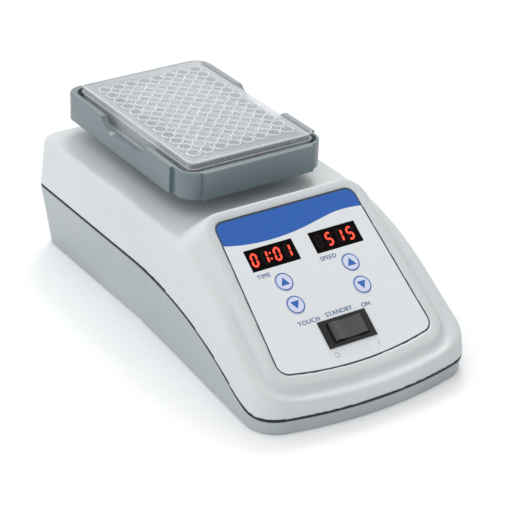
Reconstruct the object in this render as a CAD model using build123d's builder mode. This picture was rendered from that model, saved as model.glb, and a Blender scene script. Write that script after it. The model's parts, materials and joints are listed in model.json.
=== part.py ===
from build123d import *
import os
from math import cos, radians, sin, tan

os.makedirs("parts", exist_ok=True)

# Microplate mixer, millimetres. Origin on the bench under the middle of the housing's length,
# +X to the right seen from the control panel, -Y to the front, +Z up.

# Housing, in plan
body_length = 264.0
deck_half_width = 64.4
side_draft = 6.3
base_rear_half_width = 61.0
base_front_half_width = 70.4
parting_front_half_width = 70.0
front_bow_radius = 227.0
front_corner_radius = 18.0
rear_corner_radius = 10.0
base_front_setback = 1.0
wall = 3.0
floor_thickness = 3.5
foot_drop = 0.8

# Housing, seen from the side
deck_height = 72.0
deck_length = 133.0
fall_radius = 141.0
fall_slope = 35.5
fall_run = 22.2
toe_radius = 136.0
toe_slope = 22.0
crease_radius = 3.5
parting_height = 41.0
parting_flat_length = 115.0
parting_radius = 250.0
parting_slope = 26.0
parting_front_height = 8.4
gasket_thickness = 1.2
gasket_recess = 0.6

# Control panel: a sloping plateau, its datum on the upper edge of the displays
panel_setback = 81.0
panel_drop = 2.2
panel_slope = 35.5
label_top = 21.0
label_bottom = 73.5
label_bow = 6.0
label_top_half_width = 47.0
label_bottom_half_width = 51.8
label_top_radius = 6.5
label_bottom_radius = 8.0
label_thickness = 0.5
rim_width = 5.2
rim_height = 0.8
rim_radius = 1.4
flank_angle = 40.0
flank_depth = 20.0
flank_lean = 11.6
moat_slope = 34.3
moat_drop = 3.4
moat_width = 9.0
moat_rise = 7.0
moat_flare = 40.0
panel_gap = 0.15

# Displays, keys and their board
display_width = 31.2
display_height = 13.1
display_inner_x = 5.6
display_glass = 2.4
display_module_depth = 6.0
key_diameter = 10.6
key_x = 22.2
key_up_v = -23.2
key_down_v = -37.7
key_cap = 0.8
key_proud = 0.3
key_travel = 0.4
key_gap = 0.3
key_stem_diameter = 4.0
key_switch_size = 6.0
key_switch_height = 4.3
key_switch_gap = 0.1
board_thickness = 1.6
board_width = 88.0
board_top_v = 8.0
board_bottom_v = -46.0
board_screw_x = 40.0
board_screw_inset = 4.0
board_screw_length = 7.0
board_post_diameter = 7.0

# Rocker switch with three positions
rocker_v = -59.4
bezel_width = 31.5
bezel_height = 16.5
bezel_flange = 0.9
bezel_border = 1.5
bezel_depth = 17.0
rocker_radius = 11.5
rocker_height = 11.0
rocker_pivot_depth = 2.6
rocker_lift = 2.6
rocker_drop = 5.0
rocker_dish_radius = 21.0
rocker_dish_depth = 1.7
rocker_gap = 0.3
rocker_well_depth = 11.0
rocker_pin_diameter = 3.0
rocker_pin_length = 0.6
running_gap = 0.05
terminal_width = 4.8
terminal_thickness = 0.8
terminal_length = 9.0
terminal_pitch = 7.0

# Drive: motor on a plate that gives when the tray is pressed down
orbit_radius = 1.8
shaft_y = 57.2
press_travel = 1.5
plate_drop = 22.0
plate_thickness = 4.0
plate_half_x = 49.0
plate_half_y = 43.0
plate_corner_radius = 6.0
mount_x = 40.0
mount_y = 34.0
mount_diameter = 16.0
mount_height = 12.0
mount_post_diameter = 14.0
guide_diameter = 6.0
guide_head_diameter = 11.0
guide_head_height = 3.5
guide_thread_depth = 10.0
motor_diameter = 62.0
motor_height = 38.0
motor_edge_radius = 3.0
motor_pilot_diameter = 24.0
motor_pilot_height = 3.0
motor_screw_circle = 44.0
motor_screw_length = 10.0
shaft_diameter = 10.0
shaft_end_gap = 8.0
crank_diameter = 22.0
crank_thickness = 3.0
pin_diameter = 8.0
pin_shoulder = 2.6
counterweight_radius = 28.0
counterweight_height = 9.0
counterweight_gap = 3.0
counterweight_hub_diameter = 20.0

# Tray bearing, hub and the rubber boot round it
bearing_diameter = 19.0
bearing_height = 6.0
bearing_inner_diameter = 12.4
pin_screw_length = 5.0
hub_boss_diameter = 24.0
hub_boss_overhang = 0.8
hub_flange_diameter = 42.0
hub_flange_thickness = 3.0
hub_shoulder_diameter = 14.0
hub_screw_circle = 32.0
retainer_height = 2.0
hub_roof = 1.4
boot_hole_radius = 19.0
boot_inner_radius = 16.5
boot_lip_radius = 23.5
boot_lip_thickness = 1.5
boot_waist_radius = 17.6
boot_fold_radius = 20.4
boot_thickness = 1.2

# Tray
tray_panel_half_x = 49.0
tray_panel_half_y = 69.6
tray_wall_setback = 2.0
tray_panel_length = 105.0
tray_panel_width = 74.0
tray_corner_radius = 11.0
tray_edge_radius = 0.8
tray_floor_rise = 16.6
tray_rim_rise = 10.8
tray_skirt_drop = 5.6
tray_floor_thickness = 3.0
tray_skirt_wall = 3.0
tray_pocket_gap = 0.55
tray_rim_wall = 2.0
tray_rim_corner = 8.0
notch_top_length = 52.0
notch_floor_length = 30.0
notch_depth = 7.5
notch_fillet = 10.0

# Microplate and lid: the standard 96-well footprint
plate_length = 127.76
plate_width = 85.48
plate_height = 14.35
plate_flange_height = 2.5
plate_corner_radius_out = 3.2
plate_wall = 1.2
plate_upper_inset = 2.14
well_pitch = 9.0
well_columns = 8
well_rows = 12
well_diameter = 6.9
well_depth = 10.7
well_wall = 0.7
well_sides = 8
lid_wall = 1.1
lid_gap = 0.3
lid_drop = 4.6
lid_corner_radius = 5.0
seat_gap = 0.1

# Power inlet
inlet_x = 30.0
inlet_z = 24.0
inlet_width = 27.0
inlet_height = 19.8
inlet_corner_cut = 5.0
inlet_flange_width = 50.0
inlet_flange_height = 22.5
inlet_flange_thickness = 3.0
inlet_depth = 19.0
inlet_socket_width = 24.0
inlet_socket_height = 16.5
inlet_socket_depth = 15.5
inlet_pin_width = 2.0
inlet_pin_height = 4.0
inlet_pin_length = 19.0
inlet_pin_recess = 6.0
inlet_pin_pitch = 7.0
inlet_pin_rise = 4.0
inlet_screw_spacing = 40.0
inlet_screw_length = 5.0

# Power board
power_board_y = -38.0
power_board_length = 62.0
power_board_width = 96.0
power_board_standoff = 7.0
power_board_inset = 5.0
standoff_diameter = 8.0
transformer_x = -20.0
transformer_width = 42.0
transformer_length = 35.0
transformer_height = 27.0
transformer_edge = 2.0
capacitor_x = 24.0
capacitor_diameter = 16.0
capacitor_height = 24.0

# Touch switch under the motor plate, on its bracket
switch_body_length = 20.0
switch_body_width = 6.4
switch_body_height = 10.2
switch_y_gap = 4.0
switch_free_gap = 2.0
switch_screw_pitch = 10.0
switch_screw_diameter = 2.0
switch_screw_drop = 7.0
plunger_diameter = 2.4
plunger_length = 5.0
plunger_spare = 0.5
bracket_thickness = 1.6
bracket_width = 22.0
bracket_foot = 14.0
bracket_screw_x = 6.0

# Screws and feet
small_screw_diameter = 3.0
small_screw_head_diameter = 5.5
small_screw_head_height = 2.0
small_screw_length = 8.0
large_screw_diameter = 4.0
large_screw_head_diameter = 7.0
large_screw_head_height = 2.2
case_screw_length = 25.0
case_boss_diameter = 12.0
case_screw_rear_x = 51.0
case_screw_rear_inset = 14.0
case_screw_rear_seat = 30.0
case_screw_front_x = 55.0
case_screw_front_inset = 44.0
case_screw_front_seat = 5.0
socket_share = 0.7
tip_room = 1.0
foot_diameter = 17.0
foot_recess = 1.4
foot_edge_radius = 1.0
foot_x = 50.0
foot_inset_y = 30.0
fit_gap = 0.2
thread_gap = 0.03

# Places that follow from the sizes above
half_length = body_length / 2
panel_y = panel_setback - half_length
panel_z = deck_height - panel_drop
base_floor = foot_drop + floor_thickness
form_top = deck_height + flank_depth
tray_y = shaft_y + orbit_radius
tray_floor_height = deck_height + tray_floor_rise
tray_top = tray_floor_height + tray_rim_rise
tray_bottom = tray_floor_height - tray_skirt_drop
plate_seat = tray_floor_height + seat_gap
plate_deck_top = plate_seat + plate_height
lid_underside = plate_deck_top + seat_gap
lid_top = lid_underside + lid_wall
hub_top = tray_floor_height - tray_floor_thickness
hub_flange_bottom = hub_top - hub_flange_thickness
bearing_top = hub_flange_bottom - retainer_height - running_gap - hub_roof
bearing_bottom = bearing_top - bearing_height
crank_top = bearing_bottom - pin_shoulder
crank_bottom = crank_top - crank_thickness
plate_bottom = deck_height - plate_drop
motor_plate_top = plate_bottom + plate_thickness
motor_bottom = plate_bottom - motor_height
mount_bottom = plate_bottom - mount_height
board_depth = display_glass + fit_gap + display_module_depth
key_switch_top = key_switch_height - board_depth
bezel_body_width = bezel_width - 2 * bezel_border
bezel_body_height = bezel_height - 2 * bezel_border
rocker_top = bezel_flange + rocker_lift
foot_y = half_length - foot_inset_y
switch_y = shaft_y - motor_diameter / 2 - switch_y_gap - switch_body_width / 2
bracket_y = switch_y - switch_body_width / 2 - bracket_thickness
switch_top = plate_bottom - switch_free_gap
standoff_top = base_floor + power_board_standoff
inlet_mouth = half_length - fit_gap
panel = Plane(
    origin=(0, panel_y, panel_z),
    x_dir=(1, 0, 0),
    z_dir=(0, -sin(radians(panel_slope)), cos(radians(panel_slope))),
)
moat = Plane(
    origin=(0, panel_y, panel_z - moat_drop),
    x_dir=(1, 0, 0),
    z_dir=(0, -sin(radians(moat_slope)), cos(radians(moat_slope))),
)
rocker_section = Plane(
    origin=panel.from_local_coords((0, rocker_v, 0)),
    x_dir=(1, 0, 0),
    z_dir=(0, -cos(radians(panel_slope)), -sin(radians(panel_slope))),
)
shaft_section = Plane(origin=(0, shaft_y, 0), x_dir=(1, 0, 0), z_dir=(0, -1, 0))
rear_face = Plane(origin=(inlet_x, inlet_mouth, inlet_z), x_dir=(-1, 0, 0), z_dir=(0, 1, 0))
bracket_face = Plane(origin=(0, bracket_y, 0), x_dir=(-1, 0, 0), z_dir=(0, 1, 0))
on_top = (Align.CENTER, Align.CENTER, Align.MIN)
hanging = (Align.CENTER, Align.CENTER, Align.MAX)

mount_points = [(x, shaft_y + y) for x in (-mount_x, mount_x) for y in (-mount_y, mount_y)]
foot_points = [(x, y) for x in (-foot_x, foot_x) for y in (-foot_y, foot_y)]
case_screw_seats = [
    (-case_screw_rear_x, half_length - case_screw_rear_inset, case_screw_rear_seat),
    (case_screw_rear_x, half_length - case_screw_rear_inset, case_screw_rear_seat),
    (-case_screw_front_x, case_screw_front_inset - half_length, case_screw_front_seat),
    (case_screw_front_x, case_screw_front_inset - half_length, case_screw_front_seat),
]
display_x = display_inner_x + display_width / 2
display_points = [(-display_x, -display_height / 2), (display_x, -display_height / 2)]
key_points = {
    "time_up_key": (-key_x, key_up_v),
    "time_down_key": (-key_x, key_down_v),
    "speed_up_key": (key_x, key_up_v),
    "speed_down_key": (key_x, key_down_v),
}
board_screw_points = [
    (x, v)
    for x in (-board_screw_x, board_screw_x)
    for v in (board_bottom_v + board_screw_inset, board_top_v - board_screw_inset)
]
power_board_reach_x = power_board_width / 2 - power_board_inset
power_board_reach_y = power_board_length / 2 - power_board_inset
power_board_points = [
    (x, power_board_y + y)
    for x in (-power_board_reach_x, power_board_reach_x)
    for y in (-power_board_reach_y, power_board_reach_y)
]
bracket_screw_y = bracket_y - bracket_foot / 2
bracket_points = [(-bracket_screw_x, bracket_screw_y), (bracket_screw_x, bracket_screw_y)]


# Housing forms, each made again with an inset for the hollow inside
def plan_outline(rear_half, front_half, front_y, inset):
    """Housing seen from above: straight rear, bowed front, rounded corners."""
    rear_y = half_length - inset
    knee_y = half_length - parting_flat_length
    nose_y = front_y + inset
    bow = (front_half - inset) ** 2 / (2 * front_bow_radius)
    right = [
        (rear_half - inset, rear_y),
        (rear_half - inset, knee_y),
        (front_half - inset, nose_y + bow),
    ]
    left = [(-x, y) for x, y in right]
    with BuildSketch() as outline:
        with BuildLine():
            Polyline(*right)
            Polyline(*left)
            Line(right[0], left[0])
            ThreePointArc(left[2], (0, nose_y), right[2])
        make_face()
        fillet(outline.vertices().sort_by(Axis.Y)[-2:], rear_corner_radius - inset)
        fillet(outline.vertices().sort_by(Axis.Y)[:2], front_corner_radius - inset)
    return outline.sketch


def cover_block(inset):
    """Upright block with the cover's drafted sides, taller than the cover."""
    draft = tan(radians(side_draft))
    with BuildPart() as block:
        for z in (foot_drop - wall, form_top):
            half = deck_half_width + (deck_height - z) * draft
            front_y = -half_length + (z - parting_front_height) * draft
            with BuildSketch(Plane.XY.offset(z)):
                add(plan_outline(half, half, front_y, inset))
        loft(ruled=True)
    return block.part


def base_block(inset, bottom):
    """Lower housing's block: its sides draw in towards the bench."""
    top_front_y = -half_length - base_front_setback * (
        (parting_height - parting_front_height) / (parting_front_height - foot_drop)
    )
    bottom_front_y = -half_length + base_front_setback
    draft = tan(radians(side_draft))
    rear_half = deck_half_width + (deck_height - parting_height) * draft
    with BuildPart() as block:
        with BuildSketch(Plane.XY.offset(bottom)):
            add(plan_outline(base_rear_half_width, base_front_half_width, bottom_front_y, inset))
        with BuildSketch(Plane.XY.offset(parting_height + gasket_thickness)):
            add(plan_outline(rear_half, parting_front_half_width, top_front_y, inset))
        loft(ruled=True)
    return block.part


def under_ledge(inset):
    """Everything below the deck and the ledge that falls from it to the front."""
    with BuildPart() as region:
        with BuildSketch(Plane.YZ):
            with BuildLine():
                rear_top = (half_length + wall, deck_height - inset)
                deck_end = (half_length - deck_length, deck_height - inset)
                Line(rear_top, deck_end)
                fall = JernArc(deck_end, (-1, 0), fall_radius - inset, fall_slope)
                run = Line(fall @ 1, fall @ 1 + (fall % 1) * fall_run)
                toe = JernArc(run @ 1, run % 1, toe_radius + inset, toe_slope - fall_slope)
                lip = Line(toe @ 1, toe @ 1 + (toe % 1) * front_corner_radius)
                Polyline(lip @ 1, ((lip @ 1).X, -wall), (half_length + wall, -wall), rear_top)
            make_face()
        extrude(amount=body_length, both=True)
    return region.part


def below_parting(rise):
    """Everything below the parting line, which sweeps down towards the front."""
    drop = parting_height - parting_front_height
    first_drop = parting_radius * (1 - cos(radians(parting_slope)))
    level_radius = (drop - first_drop) / (1 - cos(radians(parting_slope)))
    with BuildPart() as region:
        with BuildSketch(Plane.YZ):
            with BuildLine():
                rear = (half_length + wall, parting_height + rise)
                knee = (half_length - parting_flat_length, parting_height + rise)
                Line(rear, knee)
                sweep_down = JernArc(knee, (-1, 0), parting_radius, parting_slope)
                level = JernArc(sweep_down @ 1, sweep_down % 1, level_radius, -parting_slope)
                front = (-body_length, (level @ 1).Y)
                Polyline(level @ 1, front, (-body_length, -wall), (half_length + wall, -wall), rear)
            make_face()
        extrude(amount=body_length, both=True)
    return region.part


def panel_outline(grow):
    """Control panel seen square on: wider to the front, with a bowed lower edge."""
    top_half = label_top_half_width + grow
    bottom_half = label_bottom_half_width + grow
    top_v = label_top + grow
    bottom_v = -label_bottom - grow
    with BuildSketch() as outline:
        with BuildLine():
            Polyline((-bottom_half, bottom_v), (-top_half, top_v), (top_half, top_v), (bottom_half, bottom_v))
            ThreePointArc((-bottom_half, bottom_v), (0, bottom_v - label_bow), (bottom_half, bottom_v))
        make_face()
        fillet(outline.vertices().sort_by(Axis.Y)[-2:], label_top_radius + grow)
        fillet(outline.vertices().sort_by(Axis.Y)[:2], label_bottom_radius + grow)
    return outline.sketch


def plateau(inset):
    """Raised panel with its sloping flanks, standing out of the ledge."""
    spread = tan(radians(flank_angle))
    side_inset = inset / cos(radians(flank_angle))
    with BuildPart() as hump:
        with BuildSketch(panel.offset(rim_height - flank_depth)):
            with Locations((0, -flank_lean)):
                add(panel_outline(rim_width + flank_depth * spread - side_inset))
        with BuildSketch(panel.offset(rim_height - inset)):
            add(panel_outline(rim_width + inset * spread - side_inset))
        loft(ruled=True)
        if inset == 0:
            rim_edge = hump.faces().filter_by(panel).sort_by(Axis.Z)[-1].edges()
            fillet(rim_edge, rim_radius)
        add(cover_block(inset), mode=Mode.INTERSECT)
    return hump.part


def moat_cut(inset):
    """Shallow valley round the plateau, let into the ledge."""
    with BuildPart() as valley:
        with BuildSketch(moat.offset(-inset)):
            add(panel_outline(moat_width + inset))
        with BuildSketch(moat.offset(moat_rise - inset)):
            add(panel_outline(moat_width + inset + moat_rise * tan(radians(moat_flare))))
        loft(ruled=True)
    return valley.part


def cover_form(inset):
    """Whole cover, solid: deck, ledge, valley and plateau, its outer crease rounded."""
    with BuildPart() as form:
        add(cover_block(inset))
        add(under_ledge(inset), mode=Mode.INTERSECT)
        if inset == 0:
            tops = form.faces().filter_by(lambda face: face.normal_at().Z > sin(radians(fall_slope)))
            sides = form.faces() - tops
            fillet([edge for edge in tops.edges() if edge in sides.edges()], crease_radius)
        add(moat_cut(inset), mode=Mode.SUBTRACT)
        add(plateau(inset))
    return form.part


def screw(diameter, length, head_diameter, head_height):
    """Socket screw pointing down: the head stands on z = 0, the shank hangs below it."""
    with BuildPart() as body:
        Cylinder(head_diameter / 2, head_height, align=on_top)
        Cylinder(diameter / 2, length, align=hanging)
        with BuildSketch(Plane.XY.offset(head_height)):
            RegularPolygon(diameter * socket_share, 6)
        extrude(amount=-head_height * socket_share, mode=Mode.SUBTRACT)
    return body.part


def small_screw():
    return screw(
        small_screw_diameter, small_screw_length, small_screw_head_diameter, small_screw_head_height
    )


# Top cover: shell with posts for the case screws and the control board
with BuildPart() as cover_hollow:
    add(cover_form(wall))
    with Locations(*[(x, y) for x, y, seat in case_screw_seats]):
        Cylinder(case_boss_diameter / 2, form_top, align=on_top, mode=Mode.SUBTRACT)
    with Locations(panel.offset(-board_depth)):
        with Locations(*board_screw_points):
            Cylinder(board_post_diameter / 2, board_depth, align=on_top, mode=Mode.SUBTRACT)

with BuildPart() as top_cover:
    add(cover_form(0))
    add(cover_hollow.part, mode=Mode.SUBTRACT)
    add(below_parting(gasket_thickness), mode=Mode.SUBTRACT)
    with BuildSketch(panel.offset(-label_thickness)):
        add(panel_outline(0))
    extrude(amount=label_thickness + 2 * rim_height, mode=Mode.SUBTRACT)
    with Locations(panel.offset(-label_thickness)):
        with Locations(*display_points):
            window_room = (display_width + 2 * panel_gap, display_height + 2 * panel_gap, wall)
            Box(*window_room, align=hanging, mode=Mode.SUBTRACT)
        with Locations(*key_points.values()):
            key_room = key_travel + key_switch_gap
            Cylinder(key_diameter / 2 + key_gap, key_room, align=hanging, mode=Mode.SUBTRACT)
            Cylinder(key_stem_diameter / 2 + key_gap, wall, align=hanging, mode=Mode.SUBTRACT)
        with Locations((0, rocker_v)):
            bezel_room = (bezel_body_width + 2 * fit_gap, bezel_body_height + 2 * fit_gap, wall)
            Box(*bezel_room, align=hanging, mode=Mode.SUBTRACT)
    with Locations(panel.offset(-board_depth)):
        with Locations(*board_screw_points):
            board_thread = board_screw_length - board_thickness
            Cylinder(small_screw_diameter / 2 + thread_gap, board_thread, align=on_top, mode=Mode.SUBTRACT)
    with Locations((0, shaft_y, deck_height)):
        Cylinder(boot_hole_radius, 2 * wall, align=hanging, mode=Mode.SUBTRACT)
    with Locations(*case_screw_seats):
        thread_depth = case_screw_length + tip_room
        Cylinder(large_screw_diameter / 2 + thread_gap, thread_depth, align=on_top, mode=Mode.SUBTRACT)
top_cover.part.label = "top_cover"
export_step(top_cover.part, "parts/top_cover.step")

# Lower housing: tub with posts, standoffs and a thicker wall round the power inlet
with BuildPart() as lower_hollow:
    add(base_block(wall, base_floor))
    with Locations(*[(x, y, base_floor) for x, y in mount_points]):
        post_height = mount_bottom - base_floor
        Cylinder(mount_post_diameter / 2, post_height, align=on_top, mode=Mode.SUBTRACT)
    with Locations(*[(x, y) for x, y, seat in case_screw_seats]):
        Cylinder(case_boss_diameter / 2, form_top, align=on_top, mode=Mode.SUBTRACT)
    with Locations(*[(x, y, base_floor) for x, y in power_board_points + bracket_points]):
        Cylinder(standoff_diameter / 2, power_board_standoff, align=on_top, mode=Mode.SUBTRACT)
    with Locations(rear_face.offset(-inlet_flange_thickness)):
        inlet_wall = (inlet_flange_width + 2 * wall, inlet_flange_height + 2 * wall, wall + fit_gap)
        Box(*inlet_wall, align=hanging, mode=Mode.SUBTRACT)

with BuildPart() as lower_housing:
    add(base_block(0, foot_drop))
    add(below_parting(0), mode=Mode.INTERSECT)
    add(lower_hollow.part, mode=Mode.SUBTRACT)
    with Locations(*[(x, y, foot_drop) for x, y in foot_points]):
        Cylinder(foot_diameter / 2 + fit_gap, foot_recess, align=on_top, mode=Mode.SUBTRACT)
    with Locations(*[(x, y, mount_bottom) for x, y in mount_points]):
        guide_bore = guide_thread_depth + tip_room
        Cylinder(guide_diameter / 2 + thread_gap, guide_bore, align=hanging, mode=Mode.SUBTRACT)
    with Locations(*[(x, y, standoff_top) for x, y in power_board_points + bracket_points]):
        standoff_bore = small_screw_length - board_thickness + tip_room / 2
        Cylinder(small_screw_diameter / 2 + thread_gap, standoff_bore, align=hanging, mode=Mode.SUBTRACT)
    with Locations(*case_screw_seats):
        Cylinder(large_screw_diameter / 2 + fit_gap, parting_height, align=on_top, mode=Mode.SUBTRACT)
        Cylinder(large_screw_head_diameter / 2 + fit_gap, parting_height, align=hanging, mode=Mode.SUBTRACT)
    with Locations(rear_face):
        flange_room = (
            inlet_flange_width + 2 * fit_gap,
            inlet_flange_height + 2 * fit_gap,
            inlet_flange_thickness + fit_gap,
        )
        with Locations((0, 0, fit_gap)):
            Box(*flange_room, align=hanging, mode=Mode.SUBTRACT)
        inlet_room = (inlet_width + 2 * fit_gap, inlet_height + 2 * fit_gap, inlet_depth)
        Box(*inlet_room, align=hanging, mode=Mode.SUBTRACT)
        with Locations((-inlet_screw_spacing / 2, 0), (inlet_screw_spacing / 2, 0)):
            inlet_bore = inlet_flange_thickness + inlet_screw_length
            Cylinder(small_screw_diameter / 2 + thread_gap, inlet_bore, align=hanging, mode=Mode.SUBTRACT)
lower_housing.part.label = "lower_housing"
export_step(lower_housing.part, "parts/lower_housing.step")

# Gasket strip in the parting line
with BuildPart() as parting_gasket:
    add(cover_block(gasket_recess))
    add(below_parting(gasket_thickness), mode=Mode.INTERSECT)
    add(below_parting(0), mode=Mode.SUBTRACT)
    add(cover_block(wall), mode=Mode.SUBTRACT)
parting_gasket.part.label = "parting_gasket"
export_step(parting_gasket.part, "parts/parting_gasket.step")

# Rubber feet
with BuildPart() as rubber_feet:
    with Locations(*foot_points):
        Cylinder(foot_diameter / 2, foot_drop + foot_recess, align=on_top)
    fillet(rubber_feet.edges().filter_by(GeomType.CIRCLE).group_by(Axis.Z)[0], foot_edge_radius)
rubber_feet.part.label = "rubber_feet"
export_step(rubber_feet.part, "parts/rubber_feet.step")

# Case screws, driven from below
with BuildPart() as case_screws:
    with Locations(*[Location(seat, (180, 0, 0)) for seat in case_screw_seats]):
        add(
            screw(
                large_screw_diameter,
                case_screw_length,
                large_screw_head_diameter,
                large_screw_head_height,
            )
        )
case_screws.part.label = "case_screws"
export_step(case_screws.part, "parts/case_screws.step")

# Panel overlay with its openings
with BuildPart() as panel_overlay:
    with BuildSketch(panel.offset(-label_thickness)):
        add(panel_outline(-panel_gap))
        with Locations(*display_points):
            Rectangle(display_width + 2 * panel_gap, display_height + 2 * panel_gap, mode=Mode.SUBTRACT)
        with Locations(*key_points.values()):
            Circle(key_diameter / 2 + key_gap, mode=Mode.SUBTRACT)
        with Locations((0, rocker_v)):
            bezel_opening = (bezel_body_width + 2 * fit_gap, bezel_body_height + 2 * fit_gap)
            Rectangle(*bezel_opening, mode=Mode.SUBTRACT)
    extrude(amount=label_thickness)
panel_overlay.part.label = "panel_overlay"
export_step(panel_overlay.part, "parts/panel_overlay.step")

# Display windows and the display modules behind them
for side, point in zip(("time", "speed"), display_points):
    with BuildPart() as window:
        with Locations(panel):
            with Locations(point):
                Box(display_width, display_height, display_glass, align=hanging)
    window.part.label = f"{side}_window"
    export_step(window.part, f"parts/{side}_window.step")

    with BuildPart() as display:
        with Locations(panel.offset(-board_depth)):
            with Locations(point):
                Box(display_width, display_height, display_module_depth, align=on_top)
    display.part.label = f"{side}_display"
    export_step(display.part, f"parts/{side}_display.step")

# Touch keys: a thin cap on a stem that reaches down to the key switch
for name, point in key_points.items():
    with BuildPart() as key:
        with Locations(panel.offset(key_proud)):
            with Locations(point):
                Cylinder(key_diameter / 2, key_cap, align=hanging)
                stem_length = key_proud - key_switch_top - key_travel - key_switch_gap
                Cylinder(key_stem_diameter / 2, stem_length, align=hanging)
    key.part.label = name
    export_step(key.part, f"parts/{name}.step")

# Control board, its key switches and screws
with BuildPart() as control_board:
    with BuildSketch(panel.offset(-board_depth)):
        with Locations((0, (board_top_v + board_bottom_v) / 2)):
            Rectangle(board_width, board_top_v - board_bottom_v)
        with Locations(*board_screw_points):
            Circle(small_screw_diameter / 2 + fit_gap, mode=Mode.SUBTRACT)
    extrude(amount=-board_thickness)
control_board.part.label = "control_board"
export_step(control_board.part, "parts/control_board.step")

with BuildPart() as key_switches:
    with Locations(panel.offset(-board_depth)):
        with Locations(*key_points.values()):
            Box(key_switch_size, key_switch_size, key_switch_height, align=on_top)
key_switches.part.label = "key_switches"
export_step(key_switches.part, "parts/key_switches.step")

with BuildPart() as board_screws:
    with Locations(panel.offset(-board_depth - board_thickness)):
        with Locations(*[Location((x, v, 0), (180, 0, 0)) for x, v in board_screw_points]):
            add(
                screw(
                    small_screw_diameter,
                    board_screw_length,
                    small_screw_head_diameter,
                    small_screw_head_height,
                )
            )
board_screws.part.label = "board_screws"
export_step(board_screws.part, "parts/board_screws.step")

# Rocker switch: bezel, rocker on its pins, terminals
with BuildPart() as rocker_bezel:
    with Locations(panel):
        with Locations((0, rocker_v)):
            Box(bezel_width, bezel_height, bezel_flange, align=on_top)
            Box(bezel_body_width, bezel_body_height, bezel_depth, align=hanging)
            with Locations((0, 0, bezel_flange)):
                well = (2 * (rocker_radius + rocker_gap), rocker_height + 2 * rocker_gap)
                Box(*well, bezel_flange + rocker_well_depth, align=hanging, mode=Mode.SUBTRACT)
            with Locations(Location((0, 0, -rocker_pivot_depth), (90, 0, 0))):
                pin_room = rocker_height + 2 * (rocker_pin_length + running_gap)
                Cylinder(rocker_pin_diameter / 2 + running_gap, pin_room, mode=Mode.SUBTRACT)
    rim = rocker_bezel.faces().filter_by(panel).sort_by(Axis(panel.origin, panel.z_dir))[-1]
    fillet(rim.outer_wire().edges(), bezel_flange / 2)
rocker_bezel.part.label = "rocker_bezel"
export_step(rocker_bezel.part, "parts/rocker_bezel.step")

with BuildPart() as rocker:
    with BuildSketch(rocker_section):
        with Locations((0, -rocker_pivot_depth)):
            Circle(rocker_radius)
        with Locations((0, -rocker_pivot_depth - rocker_drop)):
            slab = (2 * rocker_radius, rocker_top + rocker_pivot_depth + rocker_drop)
            Rectangle(*slab, align=(Align.CENTER, Align.MIN), mode=Mode.INTERSECT)
        with Locations((0, rocker_top - rocker_dish_depth + rocker_dish_radius)):
            Circle(rocker_dish_radius, mode=Mode.SUBTRACT)
    extrude(amount=rocker_height / 2, both=True)
    with BuildSketch(rocker_section):
        with Locations((0, -rocker_pivot_depth)):
            Circle(rocker_pin_diameter / 2)
    extrude(amount=rocker_height / 2 + rocker_pin_length, both=True)
rocker.part.label = "rocker"
export_step(rocker.part, "parts/rocker.step")

with BuildPart() as rocker_terminals:
    with Locations(panel.offset(-bezel_depth)):
        with Locations((0, rocker_v)):
            with GridLocations(terminal_pitch, terminal_width, 3, 1):
                Box(terminal_thickness, terminal_width, terminal_length, align=hanging)
rocker_terminals.part.label = "rocker_terminals"
export_step(rocker_terminals.part, "parts/rocker_terminals.step")

# Power inlet in the rear wall
with BuildPart() as power_inlet:
    with Locations(rear_face):
        Box(inlet_flange_width, inlet_flange_height, inlet_flange_thickness, align=hanging)
        Box(inlet_width, inlet_height, inlet_depth, align=hanging)
        socket = (inlet_socket_width, inlet_socket_height, inlet_socket_depth)
        Box(*socket, align=hanging, mode=Mode.SUBTRACT)
        for x, rise in ((-inlet_pin_pitch, 0), (0, inlet_pin_rise), (inlet_pin_pitch, 0)):
            with Locations((x, rise - inlet_pin_rise / 2)):
                slot = (inlet_pin_width, inlet_pin_height, inlet_depth)
                Box(*slot, align=hanging, mode=Mode.SUBTRACT)
        with Locations((-inlet_screw_spacing / 2, 0), (inlet_screw_spacing / 2, 0)):
            Cylinder(small_screw_diameter / 2 + fit_gap, inlet_depth, align=hanging, mode=Mode.SUBTRACT)
            head_room = small_screw_head_height + fit_gap
            Cylinder(small_screw_head_diameter / 2 + fit_gap, head_room, align=hanging, mode=Mode.SUBTRACT)
    socket_corners = power_inlet.edges().filter_by(Axis.Y).filter_by(
        lambda edge: abs(edge.length - inlet_socket_depth) < thread_gap
    )
    chamfer(socket_corners.group_by(Axis.Z)[-1], inlet_corner_cut)
power_inlet.part.label = "power_inlet"
export_step(power_inlet.part, "parts/power_inlet.step")

with BuildPart() as inlet_pins:
    with Locations(rear_face.offset(-inlet_pin_recess)):
        for x, rise in ((-inlet_pin_pitch, 0), (0, inlet_pin_rise), (inlet_pin_pitch, 0)):
            with Locations((x, rise - inlet_pin_rise / 2)):
                Box(inlet_pin_width, inlet_pin_height, inlet_pin_length, align=hanging)
inlet_pins.part.label = "inlet_pins"
export_step(inlet_pins.part, "parts/inlet_pins.step")

with BuildPart() as inlet_screws:
    with Locations(rear_face.offset(-small_screw_head_height - fit_gap)):
        with Locations((-inlet_screw_spacing / 2, 0), (inlet_screw_spacing / 2, 0)):
            add(
                screw(
                    small_screw_diameter,
                    inlet_screw_length,
                    small_screw_head_diameter,
                    small_screw_head_height,
                )
            )
inlet_screws.part.label = "inlet_screws"
export_step(inlet_screws.part, "parts/inlet_screws.step")

# Power board with transformer and capacitor
with BuildPart() as power_board:
    with BuildSketch(Plane.XY.offset(standoff_top)):
        with Locations((0, power_board_y)):
            Rectangle(power_board_width, power_board_length)
        with Locations(*power_board_points):
            Circle(small_screw_diameter / 2 + fit_gap, mode=Mode.SUBTRACT)
    extrude(amount=board_thickness)
power_board.part.label = "power_board"
export_step(power_board.part, "parts/power_board.step")

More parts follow.
